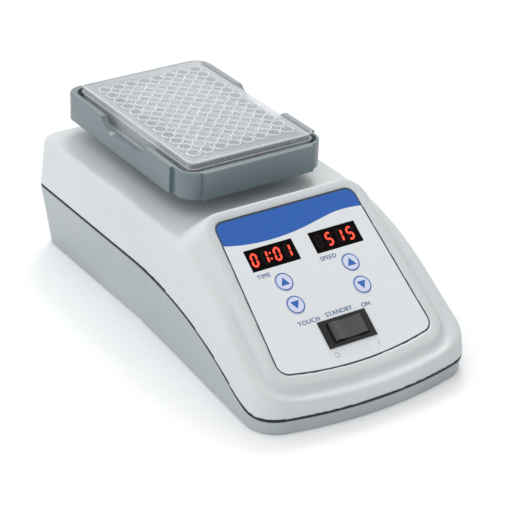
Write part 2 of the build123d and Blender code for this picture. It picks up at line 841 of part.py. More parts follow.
with BuildPart() as transformer:
    with Locations((transformer_x, power_board_y, standoff_top + board_thickness)):
        Box(transformer_width, transformer_length, transformer_height, align=on_top)
    chamfer(transformer.faces().sort_by(Axis.Z)[-1].edges(), transformer_edge)
transformer.part.label = "transformer"
export_step(transformer.part, "parts/transformer.step")

with BuildPart() as capacitor:
    with Locations((capacitor_x, power_board_y, standoff_top + board_thickness)):
        Cylinder(capacitor_diameter / 2, capacitor_height, align=on_top)
    fillet(capacitor.faces().sort_by(Axis.Z)[-1].edges(), foot_edge_radius)
capacitor.part.label = "capacitor"
export_step(capacitor.part, "parts/capacitor.step")

with BuildPart() as base_screws:
    screw_seats = [(x, y, standoff_top + board_thickness) for x, y in power_board_points + bracket_points]
    with Locations(*screw_seats):
        add(small_screw())
base_screws.part.label = "base_screws"
export_step(base_screws.part, "parts/base_screws.step")

# Touch switch that feels the motor plate come down, on its bracket
with BuildPart() as touch_bracket:
    with Locations((0, bracket_y - bracket_foot / 2 + bracket_thickness / 2, standoff_top)):
        Box(bracket_width, bracket_foot + bracket_thickness, bracket_thickness, align=on_top)
    with Locations((0, bracket_y + bracket_thickness / 2, standoff_top)):
        Box(bracket_width, bracket_thickness, switch_top - standoff_top, align=on_top)
    with Locations(*[(x, y, standoff_top) for x, y in bracket_points]):
        Cylinder(small_screw_diameter / 2 + fit_gap, bracket_thickness, align=on_top, mode=Mode.SUBTRACT)
    with Locations(bracket_face):
        with Locations((0, switch_top - switch_screw_drop)):
            with GridLocations(switch_screw_pitch, switch_screw_pitch, 2, 1):
                through = switch_screw_diameter / 2 + thread_gap
                Cylinder(through, bracket_thickness, align=on_top, mode=Mode.SUBTRACT)
touch_bracket.part.label = "touch_bracket"
export_step(touch_bracket.part, "parts/touch_bracket.step")

with BuildPart() as touch_switch:
    with Locations((0, switch_y, switch_top)):
        Box(switch_body_length, switch_body_width, switch_body_height, align=hanging)
        bore_depth = plunger_length - switch_free_gap + running_gap + press_travel + plunger_spare
        Cylinder(plunger_diameter / 2 + running_gap, bore_depth, align=hanging, mode=Mode.SUBTRACT)
    with Locations(bracket_face):
        with Locations((0, switch_top - switch_screw_drop)):
            with GridLocations(switch_screw_pitch, switch_screw_pitch, 2, 1):
                through = switch_screw_diameter / 2 + thread_gap
                reach = bracket_thickness + switch_body_width
                Cylinder(through, reach, align=on_top, mode=Mode.SUBTRACT)
touch_switch.part.label = "touch_switch"
export_step(touch_switch.part, "parts/touch_switch.step")

with BuildPart() as touch_plunger:
    with Locations((0, switch_y, plate_bottom - running_gap)):
        Cylinder(plunger_diameter / 2, plunger_length, align=hanging)
    fillet(touch_plunger.faces().sort_by(Axis.Z)[-1].edges(), plunger_diameter / 4)
touch_plunger.part.label = "touch_plunger"
export_step(touch_plunger.part, "parts/touch_plunger.step")

with BuildPart() as switch_screws:
    with Locations(bracket_face.offset(bracket_thickness + switch_body_width)):
        with Locations((0, switch_top - switch_screw_drop)):
            with GridLocations(switch_screw_pitch, switch_screw_pitch, 2, 1):
                switch_screw_length = bracket_thickness + switch_body_width
                head_diameter = 2 * switch_screw_diameter
                add(screw(switch_screw_diameter, switch_screw_length, head_diameter, foot_recess))
switch_screws.part.label = "switch_screws"
export_step(switch_screws.part, "parts/switch_screws.step")

# Isolation mounts and the shoulder bolts that guide the motor plate
with BuildPart() as isolation_mounts:
    with Locations(*[(x, y, mount_bottom) for x, y in mount_points]):
        Cylinder(mount_diameter / 2, mount_height, align=on_top)
        Cylinder(guide_diameter / 2 + fit_gap, mount_height, align=on_top, mode=Mode.SUBTRACT)
isolation_mounts.part.label = "isolation_mounts"
export_step(isolation_mounts.part, "parts/isolation_mounts.step")

with BuildPart() as guide_bolts:
    with Locations(*[(x, y, motor_plate_top + fit_gap) for x, y in mount_points]):
        guide_length = plate_thickness + mount_height + guide_thread_depth + fit_gap
        add(screw(guide_diameter, guide_length, guide_head_diameter, guide_head_height))
guide_bolts.part.label = "guide_bolts"
export_step(guide_bolts.part, "parts/guide_bolts.step")

# Motor, its plate and screws
with BuildPart() as motor_plate:
    with BuildSketch(Plane.XY.offset(plate_bottom)):
        with Locations((0, shaft_y)):
            RectangleRounded(2 * plate_half_x, 2 * plate_half_y, plate_corner_radius)
            Circle(motor_pilot_diameter / 2 + fit_gap, mode=Mode.SUBTRACT)
            with PolarLocations(motor_screw_circle / 2, 4, start_angle=45):
                Circle(large_screw_diameter / 2 + fit_gap, mode=Mode.SUBTRACT)
        with Locations(*mount_points):
            Circle(guide_diameter / 2 + fit_gap, mode=Mode.SUBTRACT)
    extrude(amount=plate_thickness)
motor_plate.part.label = "motor_plate"
export_step(motor_plate.part, "parts/motor_plate.step")

with BuildPart() as motor:
    with Locations((0, shaft_y, plate_bottom)):
        Cylinder(motor_diameter / 2, motor_height, align=hanging)
        Cylinder(motor_pilot_diameter / 2, motor_pilot_height, align=on_top)
    fillet(motor.faces().sort_by(Axis.Z)[0].edges(), motor_edge_radius)
    with Locations((0, shaft_y, plate_bottom + motor_pilot_height)):
        shaft_bore = motor_pilot_height + motor_height - shaft_end_gap + tip_room
        Cylinder(shaft_diameter / 2 + running_gap, shaft_bore, align=hanging, mode=Mode.SUBTRACT)
    with Locations((0, shaft_y, plate_bottom)):
        with PolarLocations(motor_screw_circle / 2, 4, start_angle=45):
            screw_bore = motor_screw_length - plate_thickness + tip_room
            Cylinder(large_screw_diameter / 2 + thread_gap, screw_bore, align=hanging, mode=Mode.SUBTRACT)
motor.part.label = "motor"
export_step(motor.part, "parts/motor.step")

with BuildPart() as motor_screws:
    with Locations((0, shaft_y, motor_plate_top)):
        with PolarLocations(motor_screw_circle / 2, 4, start_angle=45):
            add(
                screw(
                    large_screw_diameter,
                    motor_screw_length,
                    large_screw_head_diameter,
                    large_screw_head_height,
                )
            )
motor_screws.part.label = "motor_screws"
export_step(motor_screws.part, "parts/motor_screws.step")

# Drive shaft: crank disc with an eccentric pin
with BuildPart() as drive_shaft:
    with Locations((0, shaft_y, crank_bottom)):
        Cylinder(crank_diameter / 2, crank_thickness, align=on_top)
        shaft_length = crank_bottom - motor_bottom - shaft_end_gap
        Cylinder(shaft_diameter / 2, shaft_length, align=hanging)
    with Locations((0, tray_y, crank_top)):
        Cylinder(shaft_diameter / 2, pin_shoulder, align=on_top)
        Cylinder(pin_diameter / 2, pin_shoulder + bearing_height - fit_gap, align=on_top)
    with Locations((0, tray_y, bearing_top)):
        pin_bore = pin_screw_length + tip_room / 2
        Cylinder(large_screw_diameter / 2 + thread_gap, pin_bore, align=hanging, mode=Mode.SUBTRACT)
drive_shaft.part.label = "drive_shaft"
export_step(drive_shaft.part, "parts/drive_shaft.step")

with BuildPart() as counterweight:
    with BuildSketch(Plane.XY.offset(motor_plate_top + counterweight_gap)):
        with Locations((0, shaft_y)):
            Circle(counterweight_radius)
            half_disc = (2 * counterweight_radius, counterweight_radius)
            Rectangle(*half_disc, align=(Align.CENTER, Align.MAX), mode=Mode.INTERSECT)
            Circle(counterweight_hub_diameter / 2)
            Circle(shaft_diameter / 2, mode=Mode.SUBTRACT)
    extrude(amount=counterweight_height)
    set_screw_height = motor_plate_top + counterweight_gap + counterweight_height / 2
    set_screw_face = Plane(origin=(0, shaft_y, set_screw_height), x_dir=(-1, 0, 0), z_dir=(0, 1, 0))
    with Locations(set_screw_face):
        bore = large_screw_diameter / 2 + thread_gap
        Cylinder(bore, counterweight_hub_diameter, align=on_top, mode=Mode.SUBTRACT)
counterweight.part.label = "counterweight"
export_step(counterweight.part, "parts/counterweight.step")

with BuildPart() as counterweight_screw:
    with Locations(set_screw_face.offset(shaft_diameter / 2)):
        set_screw_length = (counterweight_hub_diameter - shaft_diameter) / 2
        Cylinder(large_screw_diameter / 2, set_screw_length, align=on_top)
    with BuildSketch(set_screw_face.offset(counterweight_hub_diameter / 2)):
        RegularPolygon(large_screw_diameter / 2 * socket_share, 6)
    extrude(amount=-set_screw_length * socket_share, mode=Mode.SUBTRACT)
counterweight_screw.part.label = "counterweight_screw"
export_step(counterweight_screw.part, "parts/counterweight_screw.step")

# Tray bearing: inner ring on the pin, outer ring in the hub, screw and its wide head on top
with BuildPart() as bearing_inner_ring:
    with Locations((0, tray_y, bearing_bottom)):
        Cylinder(bearing_inner_diameter / 2, bearing_height, align=on_top)
        Cylinder(pin_diameter / 2, bearing_height, align=on_top, mode=Mode.SUBTRACT)
bearing_inner_ring.part.label = "bearing_inner_ring"
export_step(bearing_inner_ring.part, "parts/bearing_inner_ring.step")

with BuildPart() as bearing_outer_ring:
    with Locations((0, tray_y, bearing_bottom)):
        Cylinder(bearing_diameter / 2, bearing_height, align=on_top)
        ring_bore = bearing_inner_diameter / 2 + running_gap
        Cylinder(ring_bore, bearing_height, align=on_top, mode=Mode.SUBTRACT)
bearing_outer_ring.part.label = "bearing_outer_ring"
export_step(bearing_outer_ring.part, "parts/bearing_outer_ring.step")

with BuildPart() as pin_screw:
    with Locations((0, tray_y, bearing_top)):
        pin_head = bearing_inner_diameter - 2 * fit_gap
        add(screw(large_screw_diameter, pin_screw_length, pin_head, retainer_height))
pin_screw.part.label = "pin_screw"
export_step(pin_screw.part, "parts/pin_screw.step")

# Hub under the tray
with BuildPart() as tray_hub:
    with Locations((0, tray_y, hub_flange_bottom)):
        Cylinder(hub_flange_diameter / 2, hub_flange_thickness, align=on_top)
        boss_length = hub_flange_bottom - bearing_bottom + hub_boss_overhang
        Cylinder(hub_boss_diameter / 2, boss_length, align=hanging)
    with Locations((0, tray_y, bearing_top)):
        Cylinder(hub_shoulder_diameter / 2, wall + boss_length, align=on_top, mode=Mode.SUBTRACT)
        seat_depth = bearing_height + hub_boss_overhang
        Cylinder(bearing_diameter / 2, seat_depth, align=hanging, mode=Mode.SUBTRACT)
    with Locations((0, tray_y, hub_top)):
        with PolarLocations(hub_screw_circle / 2, 4, start_angle=45):
            hub_thread = small_screw_diameter / 2 + thread_gap
            Cylinder(hub_thread, hub_flange_thickness, align=hanging, mode=Mode.SUBTRACT)
tray_hub.part.label = "tray_hub"
export_step(tray_hub.part, "parts/tray_hub.step")

# Rubber boot: gripped on the deck opening, one fold, its upper lip under the hub flange
with BuildPart() as boot:
    with BuildSketch(shaft_section):
        with BuildLine():
            fold_height = (deck_height + boot_lip_thickness + hub_flange_bottom) / 2
            lip_top = deck_height + boot_lip_thickness
            Polyline(
                (boot_inner_radius, deck_height - wall - boot_lip_thickness),
                (boot_lip_radius, deck_height - wall - boot_lip_thickness),
                (boot_lip_radius, deck_height - wall),
                (boot_hole_radius, deck_height - wall),
                (boot_hole_radius, deck_height),
                (boot_lip_radius, deck_height),
                (boot_lip_radius, lip_top),
                (boot_waist_radius + boot_thickness, lip_top),
                (boot_fold_radius + boot_thickness, fold_height),
                (boot_waist_radius + boot_thickness, hub_flange_bottom - boot_thickness),
                (boot_waist_radius + boot_thickness, hub_flange_bottom),
                (boot_inner_radius, hub_flange_bottom),
                (boot_inner_radius, hub_flange_bottom - boot_thickness),
                (boot_fold_radius, fold_height),
                (boot_inner_radius, lip_top),
                close=True,
            )
        make_face()
    revolve(axis=Axis((0, shaft_y, 0), (0, 0, 1)))
boot.part.label = "boot"
export_step(boot.part, "parts/boot.step")

# Tray: pocket for the microplate, proud side panels, finger notches in both long walls
with BuildPart() as tray:
    with BuildSketch(Plane.XY.offset(tray_bottom)):
        with Locations((0, tray_y)):
            core_x = tray_panel_half_x - tray_wall_setback
            core_y = tray_panel_half_y - tray_wall_setback
            RectangleRounded(2 * tray_panel_half_x, 2 * tray_panel_half_y, tray_corner_radius)
            with GridLocations(2 * tray_panel_half_x, 2 * tray_panel_half_y, 2, 1):
                with Locations((0, -tray_panel_half_y)):
                    front_corner = (
                        2 * tray_panel_half_x - tray_panel_width,
                        2 * tray_panel_half_y - tray_panel_length,
                    )
                    Rectangle(*front_corner, mode=Mode.SUBTRACT)
            RectangleRounded(2 * core_x, 2 * core_y, tray_corner_radius)
    extrude(amount=tray_top - tray_bottom)
    fillet(tray.faces().sort_by(Axis.Z)[-1].edges(), tray_edge_radius)
    with BuildSketch(Plane.XY.offset(tray_floor_height)):
        with Locations((0, tray_y)):
            pocket = (plate_width + 2 * tray_pocket_gap, plate_length + 2 * tray_pocket_gap)
            RectangleRounded(*pocket, plate_corner_radius_out + tray_pocket_gap)
    extrude(amount=tray_rim_rise, mode=Mode.SUBTRACT)
    with BuildSketch(Plane.XY.offset(tray_top)):
        with Locations((0, tray_y)):
            inside_rim = (2 * (core_x - tray_rim_wall), 2 * (core_y - tray_rim_wall))
            RectangleRounded(*inside_rim, tray_rim_corner)
    extrude(amount=-notch_depth, mode=Mode.SUBTRACT)
    with BuildSketch(Plane.XY.offset(tray_bottom)):
        with Locations((0, tray_y)):
            underside = (2 * (core_x - tray_skirt_wall), 2 * (core_y - tray_skirt_wall))
            RectangleRounded(*underside, tray_corner_radius - tray_skirt_wall)
    extrude(amount=tray_skirt_drop - tray_floor_thickness, mode=Mode.SUBTRACT)
    with BuildSketch(Plane.YZ) as notch:
        with BuildLine():
            notch_floor = tray_top - notch_depth
            Polyline(
                (tray_y - notch_top_length / 2, tray_top + notch_depth),
                (tray_y - notch_top_length / 2, tray_top),
                (tray_y - notch_floor_length / 2, notch_floor),
                (tray_y + notch_floor_length / 2, notch_floor),
                (tray_y + notch_top_length / 2, tray_top),
                (tray_y + notch_top_length / 2, tray_top + notch_depth),
                close=True,
            )
        make_face()
        slopes = notch.vertices().group_by(Axis.Y)
        fillet(slopes[0] + slopes[1], notch_fillet)
    extrude(amount=2 * tray_panel_half_x, both=True, mode=Mode.SUBTRACT)
    with Locations((0, tray_y, tray_floor_height)):
        with PolarLocations(hub_screw_circle / 2, 4, start_angle=45):
            sink_depth = small_screw_head_height
            Cylinder(small_screw_head_diameter / 2 + fit_gap, sink_depth, align=hanging, mode=Mode.SUBTRACT)
            through = small_screw_diameter / 2 + fit_gap
            Cylinder(through, tray_floor_thickness, align=hanging, mode=Mode.SUBTRACT)
tray.part.label = "tray"
export_step(tray.part, "parts/tray.step")

with BuildPart() as tray_screws:
    with Locations((0, tray_y, tray_floor_height - small_screw_head_height)):
        with PolarLocations(hub_screw_circle / 2, 4, start_angle=45):
            tray_screw_length = tray_floor_thickness - small_screw_head_height + hub_flange_thickness
            add(
                screw(
                    small_screw_diameter,
                    tray_screw_length,
                    small_screw_head_diameter,
                    small_screw_head_height,
                )
            )
tray_screws.part.label = "tray_screws"
export_step(tray_screws.part, "parts/tray_screws.step")

# Microplate: flange, upper body open underneath, wells hanging from its deck
with BuildPart() as microplate:
    upper_width = plate_width - 2 * plate_upper_inset
    upper_length = plate_length - 2 * plate_upper_inset
    with BuildSketch(Plane.XY.offset(plate_seat)):
        with Locations((0, tray_y)):
            RectangleRounded(plate_width, plate_length, plate_corner_radius_out)
    extrude(amount=plate_flange_height)
    with BuildSketch(Plane.XY.offset(plate_seat)):
        with Locations((0, tray_y)):
            RectangleRounded(upper_width, upper_length, plate_corner_radius_out)
    extrude(amount=plate_height)
    with BuildSketch(Plane.XY.offset(plate_seat)):
        with Locations((0, tray_y)):
            skirt_inside = (plate_width - 2 * plate_wall, plate_length - 2 * plate_wall)
            RectangleRounded(*skirt_inside, plate_corner_radius_out - plate_wall)
    extrude(amount=plate_flange_height - plate_wall, mode=Mode.SUBTRACT)
    with BuildSketch(Plane.XY.offset(plate_seat)):
        with Locations((0, tray_y)):
            upper_inside = (upper_width - 2 * plate_wall, upper_length - 2 * plate_wall)
            RectangleRounded(*upper_inside, plate_corner_radius_out - plate_wall)
    extrude(amount=plate_height - plate_wall, mode=Mode.SUBTRACT)
    with BuildSketch(Plane.XY.offset(plate_deck_top - plate_wall)):
        with Locations((0, tray_y)):
            with GridLocations(well_pitch, well_pitch, well_columns, well_rows):
                RegularPolygon(well_diameter / 2 + well_wall, well_sides)
    extrude(amount=plate_wall - well_depth - well_wall)
    with BuildSketch(Plane.XY.offset(plate_deck_top)):
        with Locations((0, tray_y)):
            with GridLocations(well_pitch, well_pitch, well_columns, well_rows):
                RegularPolygon(well_diameter / 2, well_sides)
    extrude(amount=-well_depth, mode=Mode.SUBTRACT)
microplate.part.label = "microplate"
export_step(microplate.part, "parts/microplate.step")

# Lid: a shallow cap over the upper body of the plate
with BuildPart() as microplate_lid:
    lid_grow = lid_gap + lid_wall
    with BuildSketch(Plane.XY.offset(lid_top - lid_drop)):
        with Locations((0, tray_y)):
            RectangleRounded(upper_width + 2 * lid_grow, upper_length + 2 * lid_grow, lid_corner_radius)
    extrude(amount=lid_drop)
    with BuildSketch(Plane.XY.offset(lid_top - lid_drop)):
        with Locations((0, tray_y)):
            lid_inside = (upper_width + 2 * lid_gap, upper_length + 2 * lid_gap)
            RectangleRounded(*lid_inside, lid_corner_radius - lid_wall)
    extrude(amount=lid_drop - lid_wall, mode=Mode.SUBTRACT)
microplate_lid.part.label = "microplate_lid"
export_step(microplate_lid.part, "parts/microplate_lid.step")
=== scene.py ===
import json
from math import cos, pi, radians, sin

import bmesh
import bpy
from mathutils import Matrix, Vector


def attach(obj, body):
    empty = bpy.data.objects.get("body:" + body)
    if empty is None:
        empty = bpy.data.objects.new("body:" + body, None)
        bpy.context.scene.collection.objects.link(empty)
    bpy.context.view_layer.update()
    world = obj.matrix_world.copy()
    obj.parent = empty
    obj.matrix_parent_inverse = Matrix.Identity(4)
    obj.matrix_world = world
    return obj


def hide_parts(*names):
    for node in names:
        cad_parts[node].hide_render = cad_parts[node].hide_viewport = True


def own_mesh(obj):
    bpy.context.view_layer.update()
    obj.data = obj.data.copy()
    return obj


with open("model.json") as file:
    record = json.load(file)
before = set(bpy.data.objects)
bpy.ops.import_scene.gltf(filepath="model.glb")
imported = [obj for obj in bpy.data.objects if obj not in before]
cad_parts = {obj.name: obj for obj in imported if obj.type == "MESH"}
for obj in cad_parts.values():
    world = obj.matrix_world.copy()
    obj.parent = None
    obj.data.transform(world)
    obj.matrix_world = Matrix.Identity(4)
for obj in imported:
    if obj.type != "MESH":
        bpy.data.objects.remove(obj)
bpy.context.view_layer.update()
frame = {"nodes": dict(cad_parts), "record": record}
nodes = frame["nodes"]
scene = bpy.context.scene

# Lengths in metres. Outlines are drawn in millimetres, and MM turns them into metres
MM = 0.001
NEAR = 0.01 * MM
WELD = 0.001 * MM
SHARP_ANGLE = radians(40)

# Control panel: a sloping plane, its origin just above the displays
PANEL_ORIGIN = Vector((0.0, -51.0, 69.8)) * MM
PANEL_SLOPE = radians(35.5)
PANEL_MATRIX = Matrix.Translation(PANEL_ORIGIN) @ Matrix.Rotation(PANEL_SLOPE, 4, "X")
PRINT_HEIGHT = 0.02 * MM
PRINT_THICKNESS = 0.03 * MM

# Colours, linear
COVER_LIGHT = (0.660, 0.695, 0.705)
COVER_DARK = (0.630, 0.665, 0.675)
BASE_LIGHT = (0.44, 0.48, 0.50)
BASE_DARK = (0.40, 0.44, 0.46)
TRAY_LIGHT = (0.130, 0.180, 0.200)
TRAY_DARK = (0.112, 0.158, 0.176)
LABEL = (0.800, 0.830, 0.850)
BLUE = (0.022, 0.120, 0.470)
SIGN = (0.25, 0.34, 0.52)
EDGE_SHADE = (0.060, 0.070, 0.080)
WORD_BLUE = (0.085, 0.150, 0.340)
KEY = (0.70, 0.74, 0.92)
RED_LIT = (1.0, 0.055, 0.025)
RED_DIM = (0.005, 0.002, 0.002)
CLEAR = (0.88, 0.91, 0.94)
CLEAR_PAINTED_LIGHT = (0.97, 0.99, 1.00)
CLEAR_EDGE_PAINTED_LIGHT = (0.90, 0.93, 0.96)
WHITE = (1.0, 1.0, 1.0, 1.0)
FLOOR_WHITE = (0.90, 0.91, 0.92, 1.0)

# Scales of the noises, depth of the grains, darker tones as a share of the lighter ones
CLOUDS = 14.0
CLEAR_CLOUDS = 60.0
LIT_CLOUDS = 400.0
FILM_GRAIN = 3000.0
PLASTIC_DEPTH = 0.1 * MM
METAL_DEPTH = 0.02 * MM
METAL_RELIEF = 0.15
CLEAR_TONE = 0.97
LIT_TONE = 0.86
CLEAR_BLEND = 0.20
CLEAR_INDEX = 1.50


# Materials from nodes
def new_material(name):
    """Material with its node tree and its shader."""
    material = bpy.data.materials.new(name)
    material.use_nodes = True
    tree = material.node_tree
    return material, tree, tree.nodes["Principled BSDF"]


def set_inputs(node, **values):
    """Sets a node's sockets by name, an underscore for a blank."""
    for name, value in values.items():
        node.inputs[name.replace("_", " ")].default_value = value


def object_noise(tree, scale, detail):
    """Noise that stays with the object."""
    place = tree.nodes.new("ShaderNodeTexCoord")
    noise = tree.nodes.new("ShaderNodeTexNoise")
    set_inputs(noise, Scale=scale, Detail=detail)
    tree.links.new(place.outputs["Object"], noise.inputs["Vector"])
    return noise.outputs["Fac"]


def ramp(tree, factor, low, high, start=0.35, end=0.65):
    """Colour between two given ones, by a factor."""
    node = tree.nodes.new("ShaderNodeValToRGB")
    for element, position, colour in zip(node.color_ramp.elements, (start, end), (low, high)):
        element.position = position
        element.color = (*colour, 1.0)
    tree.links.new(factor, node.inputs["Fac"])
    return node.outputs["Color"]


def bump(tree, shader, height, strength, distance):
    """Fine relief from a height."""
    node = tree.nodes.new("ShaderNodeBump")
    set_inputs(node, Strength=strength, Distance=distance)
    tree.links.new(height, node.inputs["Height"])
    tree.links.new(node.outputs["Normal"], shader.inputs["Normal"])


def moulded(name, low, high, roughness, grain, relief, gloss=0.5):
    """Moulded plastic: two close tones in soft clouds, a fine spark-eroded grain."""
    material, tree, shader = new_material(name)
    clouds = object_noise(tree, CLOUDS, detail=2.0)
    tree.links.new(ramp(tree, clouds, low, high), shader.inputs["Base Color"])
    bump(tree, shader, object_noise(tree, grain, detail=3.0), relief, PLASTIC_DEPTH)
    set_inputs(shader, Roughness=roughness, Specular_IOR_Level=gloss)
    return material


def metal(name, low, high, roughness, grain=900.0):
    """Metal with a fine grain in its colour and relief."""
    material, tree, shader = new_material(name)
    grains = object_noise(tree, grain, detail=4.0)
    tree.links.new(ramp(tree, grains, low, high), shader.inputs["Base Color"])
    bump(tree, shader, grains, METAL_RELIEF, METAL_DEPTH)
    set_inputs(shader, Metallic=1.0, Roughness=roughness)
    return material


def clear(name, tint, roughness, flat_share, painted_slant_share):
    """Clear plastic: seen through where it faces the eye, paler where it turns away, painted light for what
    the plastic bends and reflects at a slant.
    """
    material, tree, shader = new_material(name)
    clouds = object_noise(tree, CLEAR_CLOUDS, detail=2.0)
    low = tuple(channel * CLEAR_TONE for channel in tint)
    tree.links.new(ramp(tree, clouds, low, tint), shader.inputs["Base Color"])
    facing = tree.nodes.new("ShaderNodeLayerWeight")
    set_inputs(facing, Blend=CLEAR_BLEND)
    share = tree.nodes.new("ShaderNodeMapRange")
    set_inputs(share, To_Min=flat_share, To_Max=painted_slant_share)
    tree.links.new(facing.outputs["Facing"], share.inputs["Value"])
    tree.links.new(share.outputs["Result"], shader.inputs["Alpha"])
    set_inputs(shader, Roughness=roughness, IOR=CLEAR_INDEX)
    return material


def lit(name, colour, strength):
    """Lit segment of a display, not quite even."""
    material, tree, shader = new_material(name)
    clouds = object_noise(tree, LIT_CLOUDS, detail=1.0)
    low = tuple(channel * LIT_TONE for channel in colour)
    shade = ramp(tree, clouds, low, colour)
    for socket in ("Base Color", "Emission Color"):
        tree.links.new(shade, shader.inputs[socket])
    set_inputs(shader, Emission_Strength=strength, Roughness=0.4)
    return material


# Blue band at the label's upper edge, bare: its lower edge is a wave, (u, v) in millimetres
BAND_WAVE = [
    (-50.0, 7.2), (-40.0, 4.7), (-31.0, 3.3), (-20.0, 2.6), (-9.0, 2.8),
    (6.0, 4.4), (17.0, 6.4), (31.0, 8.4), (40.0, 8.2), (50.0, 7.0),
]
BAND_SPAN = 0.1
BAND_REACH = 0.02


def label_film():
    """Printed film: pale grey, with the blue band above the wave."""
    material, tree, shader = new_material("label_film")
    place = tree.nodes.new("ShaderNodeTexCoord")
    split = tree.nodes.new("ShaderNodeSeparateXYZ")
    tree.links.new(place.outputs["Object"], split.inputs["Vector"])

    def sum_of(socket_a, factor_a, socket_b, factor_b, constant):
        """Sum of two values, each times its factor, and a constant."""
        first = tree.nodes.new("ShaderNodeMath")
        first.operation = "MULTIPLY_ADD"
        tree.links.new(socket_a, first.inputs[0])
        first.inputs[1].default_value = factor_a
        first.inputs[2].default_value = constant
        second = tree.nodes.new("ShaderNodeMath")
        second.operation = "MULTIPLY_ADD"
        tree.links.new(socket_b, second.inputs[0])
        second.inputs[1].default_value = factor_b
        tree.links.new(first.outputs[0], second.inputs[2])
        return second.outputs[0]

    # Height up the panel's slope, from its origin
    origin = -(PANEL_ORIGIN.y * cos(PANEL_SLOPE) + PANEL_ORIGIN.z * sin(PANEL_SLOPE))
    height = sum_of(split.outputs["Y"], cos(PANEL_SLOPE), split.outputs["Z"], sin(PANEL_SLOPE), origin)

    # The wave's height at the same place across
    across = tree.nodes.new("ShaderNodeMapRange")
    set_inputs(across, From_Min=-BAND_SPAN / 2, From_Max=BAND_SPAN / 2)
    tree.links.new(split.outputs["X"], across.inputs["Value"])
    wave = tree.nodes.new("ShaderNodeFloatCurve")
    curve = wave.mapping.curves[0]
    for u, v in BAND_WAVE[1:-1]:
        curve.points.new(u * MM / BAND_SPAN + 0.5, v * MM / BAND_REACH)
    curve.points[0].location = (0.0, BAND_WAVE[0][1] * MM / BAND_REACH)
    curve.points[-1].location = (1.0, BAND_WAVE[-1][1] * MM / BAND_REACH)
    wave.mapping.update()
    tree.links.new(across.outputs["Result"], wave.inputs["Value"])

    above = sum_of(height, 1.0 / BAND_REACH, wave.outputs["Value"], -1.0, 0.0)
    side = tree.nodes.new("ShaderNodeMath")
    side.operation = "GREATER_THAN"
    tree.links.new(above, side.inputs[0])
    side.inputs[1].default_value = 0.0
    film = tree.nodes.new("ShaderNodeMix")
    film.data_type = "RGBA"
    set_inputs(film, A=(*LABEL, 1.0), B=(*BLUE, 1.0))
    tree.links.new(side.outputs[0], film.inputs["Factor"])
    tree.links.new(film.outputs["Result"], shader.inputs["Base Color"])
    bump(tree, shader, object_noise(tree, FILM_GRAIN, detail=3.0), 0.02, PLASTIC_DEPTH)
    set_inputs(shader, Roughness=0.40, Specular_IOR_Level=0.3)
    return material


# One material for each slot: name, two tones, roughness, scale of the grain, relief and gloss
materials = {
    "cover": moulded("cover_plastic", COVER_DARK, COVER_LIGHT, 0.42, 2600.0, 0.05),
    "base": moulded("base_plastic", BASE_DARK, BASE_LIGHT, 0.45, 2600.0, 0.08),
    "tray": moulded("tray_plastic", TRAY_DARK, TRAY_LIGHT, 0.34, 2200.0, 0.06, gloss=1.0),
    "overlay": label_film(),
    "window": moulded(
        "filter_window", (0.003, 0.002, 0.002), (0.005, 0.003, 0.003), 0.32, 800.0, 0.01, gloss=0.03
    ),
    "display": moulded("display_module", (0.02, 0.012, 0.012), (0.03, 0.02, 0.02), 0.3, 800.0, 0.02),
    "key": moulded("key_film", KEY, KEY, 0.34, FILM_GRAIN, 0.02),
    "black": moulded(
        "black_plastic", (0.004, 0.005, 0.006), (0.007, 0.008, 0.009), 0.26, 1500.0, 0.03, gloss=0.35
    ),
    "rubber": moulded("black_rubber", (0.010, 0.010, 0.011), (0.020, 0.020, 0.021), 0.62, 1800.0, 0.15),
    "plate": clear("clear_polystyrene", CLEAR, 0.16, 0.12, 0.85),
    "lid": clear("clear_lid", CLEAR, 0.08, 0.00, 0.26),
    "steel": metal("bright_steel", (0.52, 0.53, 0.54), (0.66, 0.67, 0.68), 0.26),
    "zinc": metal("plated_steel", (0.50, 0.51, 0.53), (0.62, 0.62, 0.60), 0.38, grain=300.0),
    "alu": metal("machined_aluminium", (0.70, 0.71, 0.72), (0.78, 0.79, 0.80), 0.32),
    "brass": metal("tinned_brass", (0.62, 0.56, 0.42), (0.74, 0.69, 0.55), 0.30),
    "motor": moulded("motor_paint", (0.045, 0.045, 0.048), (0.065, 0.065, 0.068), 0.40, 1200.0, 0.20),
    "board": moulded("circuit_board", (0.010, 0.085, 0.030), (0.018, 0.125, 0.048), 0.35, 700.0, 0.06),
    "transformer": moulded("potting", (0.016, 0.016, 0.018), (0.028, 0.028, 0.030), 0.50, 900.0, 0.12),
    "capacitor": moulded("sleeve", (0.012, 0.018, 0.075), (0.020, 0.028, 0.105), 0.28, 900.0, 0.03),
    "switch": moulded("switch_body", (0.018, 0.018, 0.019), (0.030, 0.030, 0.031), 0.42, 1200.0, 0.08),
}

# Materials of prints, of the rocker and of faces of the clear shells
print_blue = moulded("print_blue", BLUE, BLUE, 0.40, FILM_GRAIN, 0.02)
print_pale = moulded("print_pale_blue", SIGN, SIGN, 0.40, FILM_GRAIN, 0.02)
word_blue = moulded("word_blue", WORD_BLUE, WORD_BLUE, 0.50, 900.0, 0.02, gloss=0.3)
# Painted shadow: the dark strip round the label
edge_shade = moulded("edge_shade", EDGE_SHADE, EDGE_SHADE, 0.60, 800.0, 0.02, gloss=0.2)
segment_lit = lit("segment_lit", RED_LIT, 1.1)
segment_dim = moulded("segment_dim", RED_DIM, RED_DIM, 0.35, 800.0, 0.02, gloss=0.12)
rocker_plastic = moulded(
    "rocker_plastic", (0.010, 0.013, 0.016), (0.016, 0.020, 0.024), 0.26, 1500.0, 0.03, gloss=0.9
)
# Painted light: paler, less clear wells and lips of the plate
clear_well_painted_light = clear("clear_well_painted_light", CLEAR_PAINTED_LIGHT, 0.25, 0.60, 0.95)
clear_lip_painted_highlight = clear("clear_lip_painted_highlight", CLEAR_PAINTED_LIGHT, 0.28, 0.85, 1.00)
